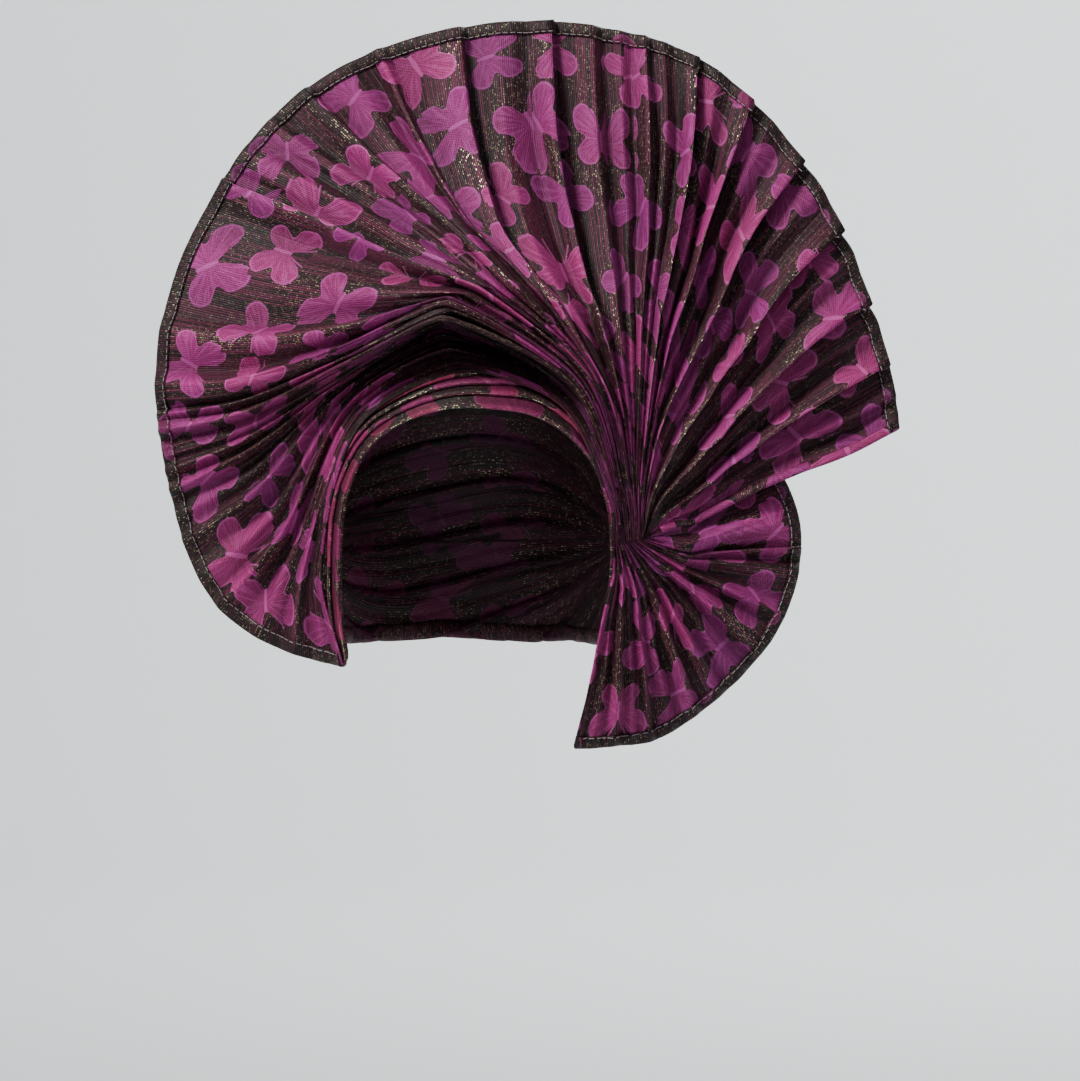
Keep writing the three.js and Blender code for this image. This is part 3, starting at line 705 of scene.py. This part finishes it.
def hollow_front(right, up, layers):
    """How far forward the hollow and the layers round it stand behind a point of the fans."""
    wide, long = HOLLOW_HALF_WIDTH + layers, HOLLOW_HALF_LENGTH + layers
    tall = (HOLLOW_RISE if up > 0 else HOLLOW_DROP) + layers
    sine, cosine = math.sin(VIEW_TURN), math.cos(VIEW_TURN)
    reach = (wide * cosine) ** 2 + (long * sine) ** 2
    inside = 1 - right**2 / reach - (up / tall) ** 2
    if inside < 0:
        return None
    return (long**2 - wide**2) * sine * cosine * right / reach + wide * long * math.sqrt(inside / reach)


def throat_out(right):
    return PINCH_OUT - PINCH_LEAN * (right - PINCH[0]) / PINCH_RADIUS


def waist(share):
    """The narrowest place of the gather, from its outer side to the side at the opening."""
    right = WAIST_OUTER[0] - WAIST_RUN[0] * share
    swell = math.sqrt(max(1 - (2 * share - 1) ** 2, 0))
    up = WAIST_OUTER[1] - WAIST_RUN[1] * share
    return Vector((right, throat_out(right) + WAIST_SWELL * swell, up))


def fan_line(place, step):
    """Rim, mid, shoulder, knee, hip, throat and waist of one line; each knee bends a little apart."""
    value = [row_through(FAN_LINES, place, key) for key in range(17)]
    stray = smooth_step(place, 4, 5.5) * smooth_step(9.6 - place, 0, 0.8)
    value[6] += KNEE_STRAY_RIGHT * stray * noise.noise(Vector((place * STRAY_PACE, 1.7, 0)))
    value[7] += KNEE_STRAY_UP * stray * noise.noise(Vector((place * STRAY_PACE, 6.1, 0)))
    angle, reach = math.radians(value[0]), (value[1] - step) * FAN_RADIUS
    out = [share * HOLLOW_HALF_LENGTH for share in value[12:]]
    rim = (FAN_CENTRE[0] + reach * math.cos(angle), out[0], FAN_CENTRE[1] + reach * math.sin(angle))
    line = [Vector(rim)]
    for key, forward in ((2, out[1]), (4, out[2])):
        line.append(Vector((FAN_CENTRE[0] + value[key] * FAN_RADIUS, forward,
                            FAN_CENTRE[1] + value[key + 1] * FAN_RADIUS)))
    for key, forward in ((6, out[3]), (8, out[4]), (10, throat_out(value[10] * HOLLOW_HALF_WIDTH))):
        line.append(Vector((value[key] * HOLLOW_HALF_WIDTH, forward, value[key + 1] * HOLLOW_RISE)))
    line.append(waist(place / (len(FAN_LINES) - 1)))
    return line


WAIST_FLUTES = 15
WAIST_FLUTE_DEPTH = 0.0014
PLEAT_DEPTH_SHARE = 0.95
WIDE_PLEAT = 0.012
SLOW_WAVE = 0.0045
RIPPLE_DEPTH = 0.0011
FINE_RIPPLE_DEPTH = 0.0005
SWAY = 0.0014
LAYER_GAP = 0.0012
LAYER_EASE = 0.002


def pleated_sheet(line_of, pleats, throat, row_count, columns_per_line, deepest, ripple, seed):
    """Rows of points of a pleated sheet, the crest column that each column hangs from, and its height.

    The pleats run from the rim to the throat, counted in points of a line, and as flutes on to the waist.
    """
    columns = []
    for index, (pleat, following) in enumerate(zip(pleats, pleats[1:])):
        count = max(6, round((following[0] - pleat[0]) * columns_per_line))
        down = min(max(round(count * pleat[2]), 2), count - 2)
        columns += [(index, pleat[2] * step / down) for step in range(down)]
        climb_count = count - down
        columns += [(index, pleat[2] + (1 - pleat[2]) * step / climb_count) for step in range(climb_count)]
    columns.append((len(pleats) - 2, 1.0))
    end_place = pleats[-1][0]
    details, shown, own_pleat, heights = [], [], [], []
    crest_columns = {len(pleats) - 1: len(columns) - 1}
    for index, share in columns:
        pleat, following = pleats[index], pleats[index + 1]
        valley = pleat[2]
        crest = pleat if share < valley else following
        if share == 0:
            crest_columns[index] = len(shown)
        climb = 1 - share / valley if share < valley else (share - valley) / (1 - valley)
        sharp = 0.7 * climb + 0.3 * (1 - math.cos(climb * math.pi)) / 2
        at = pleat[0] + (following[0] - pleat[0]) * share
        details.append((at, crest[1] * sharp, index))
        heights.append(min(crest[1] * sharp, 1))
        leaned = min(max(at + crest[3] * sharp, 0), end_place)
        shown.append(line_of(leaned, RIM_STEPS.get(pleat[0], 0) * smooth_step(share, 0, 1)))
        own_pleat.append(index if share < valley else index + 1)
    crest_lines = [line_of(min(max(pleat[0] + pleat[3], 0), end_place), 0) for pleat in pleats]
    row_places = [throat * row / row_count for row in range(row_count)]
    row_places += [throat + row / GATHER_ROWS for row in range(GATHER_ROWS + 1)]
    rows = []
    for place in row_places:
        crests = [along_line(line, place) for line in crest_lines]
        widths = [(here - there).length for here, there in zip(crests, crests[1:])]
        full = min(0.42 + 0.60 * place, 1)
        rim = max(1 - place / 2.2, 0)
        flute_share = smooth_step(place, throat - 0.2, throat + 0.9)
        row = []
        for (at, rise, index), line in zip(details, shown):
            point = along_line(line, place)
            depth = min(deepest, widths[index] * PLEAT_DEPTH_SHARE + 0.0006) * full
            tight = min(widths[index] / WIDE_PLEAT, 1)
            flute = WAIST_FLUTE_DEPTH * math.cos(math.tau * WAIST_FLUTES * at / end_place)
            point.y += depth * (rise - 0.4) * (1 - flute_share) + flute * flute_share
            point.y += SLOW_WAVE * rim * noise.noise(Vector((at * 1.3, place * 0.7, seed)))
            wave = noise.noise(Vector((at * 11 * ripple, place * 0.9, seed + 7)))
            point.y += RIPPLE_DEPTH * tight * wave
            fine_wave = noise.noise(Vector((at * 31 * ripple, place * 1.5, seed + 9)))
            point.y += FINE_RIPPLE_DEPTH * tight * fine_wave
            sway = noise.noise(Vector((at * 5 * ripple, place * 1.8, seed + 3)))
            point.x += SWAY * tight * (1 - 0.85 * rim) * sway
            behind = hollow_front(point.x, point.z, OVER_LAYERS)
            if behind is not None:
                behind += LAYER_GAP
                point.y = (point.y + behind + math.hypot(point.y - behind, LAYER_EASE)) / 2
            row.append(turned(point.x, point.y, point.z))
        rows.append(row)
    return rows, [crest_columns[pleat] for pleat in own_pleat], heights


def pleated_part(sheet, butterflies, from_row, to_row):
    """Mesh of some rows of a pleated sheet, with the cloth laid on it from the sheet's rim.

    Each pleat's cloth is laid from its own crest, as the valley hides the cloth between.
    """
    rows, crest_columns, heights = sheet
    row_lengths = [lengths_along(row) for row in rows]
    down_lengths = [lengths_along([row[column] for row in rows]) for column in range(len(rows[0]))]

    def cloth_at(cell, first):
        row, column = cell[0] + from_row, cell[1]
        crest = crest_columns[first[1]]
        from_crest = row_lengths[row][column] - row_lengths[row][crest]
        return row_lengths[0][crest] + from_crest, down_lengths[column][row]

    mesh, cells = sheet_of(rows[from_row:to_row + 1])
    # Pleat heights give painted shade in the valleys and painted glint of gold on the crests.
    lay_cloth(mesh, cells, cloth_at, lambda cell: heights[cell[1]], butterflies)
    return mesh


fan_cloth = gele_cloth(
    "fan_brocade", (0.017, 0.009, 0.010), (0.15, 0.018, 0.060), (0.42, 0.027, 0.225),
    (0.62, 0.105, 0.41), 1.25
)
fan_sheet = pleated_sheet(fan_line, FAN_PLEATS, 5, FAN_ROWS, FAN_COLUMNS_PER_LINE, FAN_FOLD, ripple=1.0,
                          seed=2.0)
fan_rows = fan_sheet[0]
fan_rim_lengths = lengths_along(fan_rows[0])


def fan_length_at(place):
    """Length along the rim to the first crest at or past a place."""
    pleat = next(index for index, pleat in enumerate(FAN_PLEATS) if pleat[0] >= place)
    return fan_rim_lengths[sorted(set(fan_sheet[1]))[pleat]]


# Under the arch and by the cut edge at the temple, where shade falls, most butterflies are left out
# so that dark ground shows there: painted shade.
shaded_recess_from, shaded_notch_to = fan_length_at(9), fan_length_at(1.5)
fan_butterflies = [
    butterfly for index, butterfly in enumerate(scattered_butterflies(1.6, 0.42, 0.047, 0.0248, seed=3))
    if not (butterfly[0] > shaded_recess_from and 0.13 < butterfly[1] < 0.26 and index % 4)
    and not (butterfly[0] < shaded_notch_to and 0.13 < butterfly[1] < 0.25)
]
behind_fans = turned(0, -2, 0)


def fan_piece(name, mesh):
    """A piece of either fan or of their gather, with its right side away from the place behind them."""
    return cloth_piece(name, mesh, [fan_cloth, cloth_reverse], CLOTH_WALL,
                       away_from([behind_fans]))


great_fan, fan_area = fan_piece("great_fan_cloth", pleated_part(fan_sheet, fan_butterflies, 0, FAN_ROWS))
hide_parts("great_fan")

# Lower fan: the tail of the same brocade, pleated from the gather down to its own round hemmed rim. Like
# the great fan it is one sheet, and its broad, soft pleats stand by the stiffness of the cloth.
LOWER_RADIUS = 0.080
LOWER_FOLD = 0.0095
LOWER_ROWS = 62
LOWER_COLUMNS_PER_LINE = 36
# angle and reach of the rim about the gather, throat angle, and how far rim and middle stand forward
LOWER_LINES = [
    (36, 0.96, 30, 0.02, 0.10), (10, 0.98, -4, 0.04, 0.16), (-8, 0.98, -17, 0.04, 0.18),
    (-25, 0.98, -31, 0.05, 0.20), (-42, 0.99, -46, 0.09, 0.25), (-58, 1.02, -62, 0.14, 0.30),
    (-73, 1.09, -80, 0.22, 0.38), (-87, 1.19, -100, 0.30, 0.46), (-98, 1.23, -118, 0.38, 0.53),
    (-109, 1.30, -134, 0.46, 0.58),
]
LOWER_PLEATS = [
    (0.00, 0.40, 0.50, 0), (0.85, 0.90, 0.88, 0), (1.65, 0.95, 0.50, -0.08), (2.05, 0.70, 0.60, 0),
    (3.05, 0.80, 0.30, 0.06), (4.10, 1.10, 0.35, -0.10), (4.75, 0.60, 0.50, 0), (5.40, 0.85, 0.55, -0.04),
    (6.10, 1.00, 0.60, -0.06), (6.60, 0.50, 0.60, 0), (7.15, 0.80, 0.55, -0.05), (7.60, 0.45, 0.55, 0),
    (8.10, 0.95, 0.55, -0.04), (8.55, 0.50, 0.50, 0), (9.00, 0.35, 0.50, 0),
]


def about_pinch(angle, reach, out):
    """Right, out and up of a point about the middle of the gather."""
    return Vector((PINCH[0] + reach * math.cos(math.radians(angle)), out,
                   PINCH[1] + reach * math.sin(math.radians(angle))))


def lower_line(place, _):
    """Rim, two points between, throat and waist of one line; this rim has no steps."""
    angle, reach, throat, rim_share, middle_share = (row_through(LOWER_LINES, place, key) for key in range(5))
    reach *= LOWER_RADIUS
    rim_out, middle_out = rim_share * HOLLOW_HALF_LENGTH, middle_share * HOLLOW_HALF_LENGTH
    at_throat = about_pinch(throat, PINCH_RADIUS, 0)
    at_throat.y = throat_out(at_throat.x)
    return [
        about_pinch(angle, reach, rim_out),
        about_pinch(angle + (throat - angle) * 0.1, reach + (PINCH_RADIUS - reach) * 0.4,
                    rim_out + (middle_out - rim_out) * 0.8),
        about_pinch(angle + (throat - angle) * 0.4, reach + (PINCH_RADIUS - reach) * 0.75,
                    middle_out + (at_throat.y - middle_out) * 0.4),
        at_throat,
        waist(place / (len(LOWER_LINES) - 1)),
    ]


lower_sheet = pleated_sheet(lower_line, LOWER_PLEATS, 3, LOWER_ROWS, LOWER_COLUMNS_PER_LINE, LOWER_FOLD,
                            ripple=0.4, seed=5.0)
lower_rows = lower_sheet[0]
lower_butterflies = scattered_butterflies(0.7, 0.2, 0.044, 0.0232, seed=23)
lower_part = pleated_part(lower_sheet, lower_butterflies, 0, LOWER_ROWS)
lower_fan, lower_area = fan_piece("lower_fan_cloth", lower_part)
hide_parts("lower_fan")

upper_part = pleated_part(fan_sheet, fan_butterflies, FAN_ROWS, FAN_ROWS + GATHER_ROWS)
tail_part = pleated_part(lower_sheet, lower_butterflies, LOWER_ROWS, LOWER_ROWS + GATHER_ROWS)
for part in (upper_part, tail_part):
    part.normal_update()
    if sum(face.normal.dot(face.calc_center_median() - behind_fans) for face in part.faces) < 0:
        bmesh.ops.reverse_faces(part, faces=part.faces[:])
tail_data = mesh_data("gather_tail", tail_part)
upper_part.from_mesh(tail_data)
bpy.data.meshes.remove(tail_data)
gather, gather_area = fan_piece("temple_gather_cloth", upper_part)
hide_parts("temple_gather")

# Hems: at the rims of both fans, the cut edge of the great fan and the crown's edge at the nape the brocade
# is turned over, so it lies double and shows another part of its pattern. Fine pale thread sews each rim.
HEM_WIDTH = 0.0062
NAPE_FOLD_WIDTH = 0.0085
CUT_FOLD_WIDTH = 0.0036
HEM_WALL = 0.0006
HEM_LIFT = 0.0010
HEM_BACK_LIFT = 0.0004
NAPE_FOLD_GAP = 6  # degrees between the brow pleats and either end of the fold
STITCH_LENGTH = 0.0024
STITCH_RADIUS = 0.00022
STITCH_PITCH = 0.0036
STITCH_INSET = 0.28
STITCH_LIFT = 0.00045

hem_cloth = gele_cloth(
    "hem_brocade", (0.014, 0.010, 0.009), (0.06, 0.011, 0.026), (0.22, 0.016, 0.110), (0.30, 0.05, 0.19), 1.3
)
stitch_thread, thread_nodes, thread_links, thread_look = new_material("stitch_thread")
twist = thread_nodes.new("ShaderNodeTexNoise")
twist.inputs["Scale"].default_value = 900
twist_place = thread_nodes.new("ShaderNodeTexCoord")
thread_links.new(twist_place.outputs["Object"], twist.inputs["Vector"])
twist_color = thread_nodes.new("ShaderNodeMix")
twist_color.data_type = "RGBA"
twist_color.inputs[6].default_value = (0.17, 0.12, 0.14, 1)
twist_color.inputs[7].default_value = (0.42, 0.34, 0.36, 1)
thread_links.new(twist.outputs["Fac"], twist_color.inputs[0])
thread_links.new(twist_color.outputs[2], thread_look["Base Color"])
thread_look["Roughness"].default_value = 0.6


def surface_facing(points, inner_points, behind):
    """Direction out of the cloth at each point of an edge, on the side away from the place behind it."""
    found = []
    for index, (point, inner) in enumerate(zip(points, inner_points)):
        ahead = points[min(index + 1, len(points) - 1)] - points[max(index - 1, 0)]
        out = ahead.cross(inner - point).normalized()
        found.append(out if out.dot(point - behind) > 0 else -out)
    return found


def sewn_line(name, rows, facing, edge_points):
    """Stitches through the hem just inside its turned-in edge, a short bar of thread for each."""
    along_edge = lengths_along(edge_points)
    stitches = bmesh.new()
    for number in range(int(along_edge[-1] / STITCH_PITCH)):
        start_length = (number + 0.3) * STITCH_PITCH
        column = max(index for index, length in enumerate(along_edge) if length <= start_length)
        column = min(column, len(edge_points) - 2)
        share = (start_length - along_edge[column]) / max(along_edge[column + 1] - along_edge[column], 1e-6)
        sewn_at = rows[0][column].lerp(rows[0][column + 1], share)
        towards_edge = rows[1][column].lerp(rows[1][column + 1], share)
        place = sewn_at.lerp(towards_edge, STITCH_INSET) + facing[column] * STITCH_LIFT
        ahead = (rows[0][column + 1] - rows[0][column]).normalized()
        turn = ahead.to_track_quat("Z", "Y").to_matrix().to_4x4()
        turn.translation = place
        bmesh.ops.create_cone(stitches, cap_ends=True, segments=6, radius1=STITCH_RADIUS,
                              radius2=STITCH_RADIUS, depth=STITCH_LENGTH, matrix=turn)
    line = in_scene(name, mesh_data(name, stitches))
    line.data.materials.append(stitch_thread)
    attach(line, "root")


def hem_piece(name, edge_points, inner_points, width, cloth, butterflies, wall=CLOTH_WALL,
              behind=behind_fans, sewn=False):
    """A hem as its own piece: it runs from its sewn line in front, round the edge, to the back.

    It lies on the cloth from each edge point towards the inner point.
    """
    facing = surface_facing(edge_points, inner_points, behind)
    back = -wall - HEM_BACK_LIFT
    profile = [(width, 0.0007), (width * 0.6, HEM_LIFT), (0.0004, HEM_LIFT), (-0.0008, HEM_LIFT * 0.45),
               (-0.0009, back * 0.5), (0.0004, back), (width * 0.6, back), (width, back)]
    rows = [[point + (inner - point).normalized() * inset + face_out * out
             for point, inner, face_out in zip(edge_points, inner_points, facing)] for inset, out in profile]
    mesh, cells = sheet_of(rows)
    along_edge = lengths_along(edge_points)
    around = lengths_along([points[0] for points in rows])
    lay_cloth(mesh, cells, lambda cell, first: (along_edge[cell[1]], around[cell[0]] + 0.05),
              lambda cell: 0.5, butterflies)
    spine = [(front + back) / 2 + (inner - point).normalized() * 0.002
             for front, back, inner, point in zip(rows[2], rows[5], inner_points, edge_points)]
    hem, _ = cloth_piece(name, mesh, [cloth], HEM_WALL, away_from(spine))
    if sewn:
        sewn_line(f"{name}_stitches", rows, facing, edge_points)
    return hem


def crown_column(turn):
    return (turn + 180) / 360 * CROWN_COLUMNS


hem_butterflies = scattered_butterflies(1.6, 0.1, 0.085, 0.022, seed=41)
fan_hem = hem_piece("great_fan_hem", fan_rows[0], fan_rows[3], HEM_WIDTH, hem_cloth, hem_butterflies,
                    sewn=True)
lower_hem = hem_piece("lower_fan_hem", lower_rows[0], lower_rows[4], HEM_WIDTH * 0.9, hem_cloth,
                      hem_butterflies, sewn=True)
cut_rows = fan_rows[2:FAN_ROWS + 14]
cut_fold = hem_piece("cut_edge_fold", [row[0] for row in cut_rows], [row[6] for row in cut_rows],
                     CUT_FOLD_WIDTH, fan_cloth, scattered_butterflies(0.5, 0.1, 0.04, 0.028, seed=8))
nape_from = math.ceil(crown_column(BROW_END + NAPE_FOLD_GAP))
nape_to = math.floor(crown_column(BROW_START - NAPE_FOLD_GAP + 360))
nape_columns = [column % CROWN_COLUMNS for column in range(nape_from, nape_to + 1)]
hem_piece("nape_edge_fold", [crown_rows[-1][column] for column in nape_columns],
          [crown_rows[-8][column] for column in nape_columns], NAPE_FOLD_WIDTH, wrap_cloth, hem_butterflies,
          wall=CROWN_CLOTH, behind=Vector((0, 0, 0)))

round(lengths_along(lower_rows[0])[-1], 3)

# Light: a large soft box up to the left, weaker ones from the right and from behind, one on the paper
# beyond, and a little pale light from all round.
LIGHT_AIM = (0.03, 0.0, 0.06)


def soft_box(name, place, aim, width, power, color):
    """A square soft light; place and aim are right, out and up, as the camera sees them."""
    data = bpy.data.lights.new(name, "AREA")
    data.shape = "SQUARE"
    data.size = width
    data.energy = power
    data.color = color
    light = in_scene(name, data)
    light.location = turned(*place)
    light.rotation_euler = (turned(*aim) - light.location).to_track_quat("-Z", "Y").to_euler()


soft_box("key_light", (-0.95, 1.15, 1.35), LIGHT_AIM, width=0.5, power=47, color=(1.0, 0.99, 0.97))
soft_box("fill_light", (1.5, 1.3, 0.35), LIGHT_AIM, width=1.0, power=4, color=(0.96, 0.98, 1.0))
soft_box("back_light", (0.9, -1.3, 1.3), LIGHT_AIM, width=0.9, power=12, color=(1.0, 1.0, 1.0))
soft_box("paper_light", (1.0, -1.4, 2.4), (0.9, -3.8, 0.7), width=1.6, power=235, color=(1.0, 1.0, 1.0))
world = bpy.data.worlds.new("studio")
world.use_nodes = True
background = world.node_tree.nodes["Background"].inputs
background["Color"].default_value = (0.92, 0.95, 1.0, 1)
background["Strength"].default_value = 0.2
bpy.context.scene.world = world
